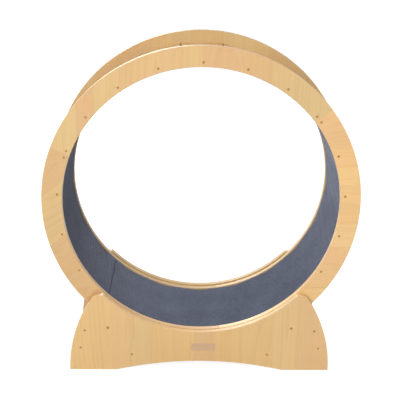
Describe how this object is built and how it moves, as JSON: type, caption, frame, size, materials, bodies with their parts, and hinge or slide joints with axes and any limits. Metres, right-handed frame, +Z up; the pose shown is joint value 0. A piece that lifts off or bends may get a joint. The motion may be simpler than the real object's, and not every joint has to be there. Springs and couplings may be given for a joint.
{
  "type": "cat exercise wheel",
  "caption": "Wooden cat exercise wheel: carpeted slatted drum between two rings, rolling on flanged rollers in a low base of two scooped panels.",
  "frame": {"origin": "on the floor, straight under the middle of the wheel", "axes": "+Z up, +Y along the wheel's axle line from front to rear, +X to the right seen from the front"},
  "size_m": [1, 0.372, 1.0759],
  "materials": {
    "ring_pine": "clear satin",
    "slat_pine": "clear satin",
    "panel_pine": "clear satin",
    "beam_pine": "clear satin",
    "dowel_beech": "bare",
    "carpet_felt": "needle felt",
    "screw_steel": "yellow zinc",
    "plain_plate": "satin",
    "shaft_steel": "ground",
    "sleeve_aluminium": "satin",
    "roller_nylon": "turned",
    "bearing_steel": "polished"
  },
  "bodies": {
    "base": {"beam_dowels": "dowel_beech", "bearing_balls": "bearing_steel", "bearing_inner_races": "bearing_steel", "blank_plate": "plain_plate", "front_base_panel": "panel_pine", "front_panel_screws": "screw_steel", "left_lower_beam": "beam_pine", "left_shaft": "shaft_steel", "left_shaft_sleeve": "sleeve_aluminium", "left_side_board": "beam_pine", "rear_base_panel": "panel_pine", "rear_panel_screws": "screw_steel", "right_lower_beam": "beam_pine", "right_shaft": "shaft_steel", "right_shaft_sleeve": "sleeve_aluminium", "right_side_board": "beam_pine", "shaft_screws": "screw_steel", "shaft_spacers": "sleeve_aluminium"},
    "wheel": {"front_ring_arc_1": "ring_pine", "front_ring_arc_2": "ring_pine", "front_ring_arc_3": "ring_pine", "rear_ring_arc_1": "ring_pine", "rear_ring_arc_2": "ring_pine", "rear_ring_arc_3": "ring_pine", "slat_01": "slat_pine", "slat_02": "slat_pine", "slat_03": "slat_pine", "slat_04": "slat_pine", "slat_05": "slat_pine", "slat_06": "slat_pine", "slat_07": "slat_pine", "slat_08": "slat_pine", "slat_09": "slat_pine", "slat_10": "slat_pine", "slat_11": "slat_pine", "slat_12": "slat_pine", "slat_13": "slat_pine", "slat_14": "slat_pine", "slat_15": "slat_pine", "slat_16": "slat_pine", "slat_17": "slat_pine", "slat_18": "slat_pine", "slat_19": "slat_pine", "slat_20": "slat_pine", "slat_21": "slat_pine", "carpet_liner": "carpet_felt", "front_ring_screws": "screw_steel", "rear_ring_screws": "screw_steel", "ring_dowels": "dowel_beech"},
    "front_left_roller": {"front_left_roller": "roller_nylon", "front_left_bearing_shells": "bearing_steel"},
    "front_right_roller": {"front_right_roller": "roller_nylon", "front_right_bearing_shells": "bearing_steel"},
    "rear_left_roller": {"rear_left_roller": "roller_nylon", "rear_left_bearing_shells": "bearing_steel"},
    "rear_right_roller": {"rear_right_roller": "roller_nylon", "rear_right_bearing_shells": "bearing_steel"}
  },
  "joints": [
    {"name": "wheel_spin", "type": "hinge", "parent": "base", "child": "wheel", "pos_m": [0, 0, 0.576], "axis": [0, 1, 0], "continuous": true},
    {"name": "front_left_roller_spin", "type": "hinge", "parent": "base", "child": "front_left_roller", "pos_m": [-0.3007, -0.151, 0.15753], "axis": [0, 1, 0], "continuous": true},
    {"name": "front_right_roller_spin", "type": "hinge", "parent": "base", "child": "front_right_roller", "pos_m": [0.3007, -0.151, 0.15753], "axis": [0, 1, 0], "continuous": true},
    {"name": "rear_left_roller_spin", "type": "hinge", "parent": "base", "child": "rear_left_roller", "pos_m": [-0.3007, 0.151, 0.15753], "axis": [0, 1, 0], "continuous": true},
    {"name": "rear_right_roller_spin", "type": "hinge", "parent": "base", "child": "rear_right_roller", "pos_m": [0.3007, 0.151, 0.15753], "axis": [0, 1, 0], "continuous": true}
  ],
  "couplings": [
    {"joint": "front_left_roller_spin", "follows": "wheel_spin", "ratio": -33.333},
    {"joint": "front_right_roller_spin", "follows": "wheel_spin", "ratio": -33.333},
    {"joint": "rear_left_roller_spin", "follows": "wheel_spin", "ratio": -33.333},
    {"joint": "rear_right_roller_spin", "follows": "wheel_spin", "ratio": -33.333}
  ]
}
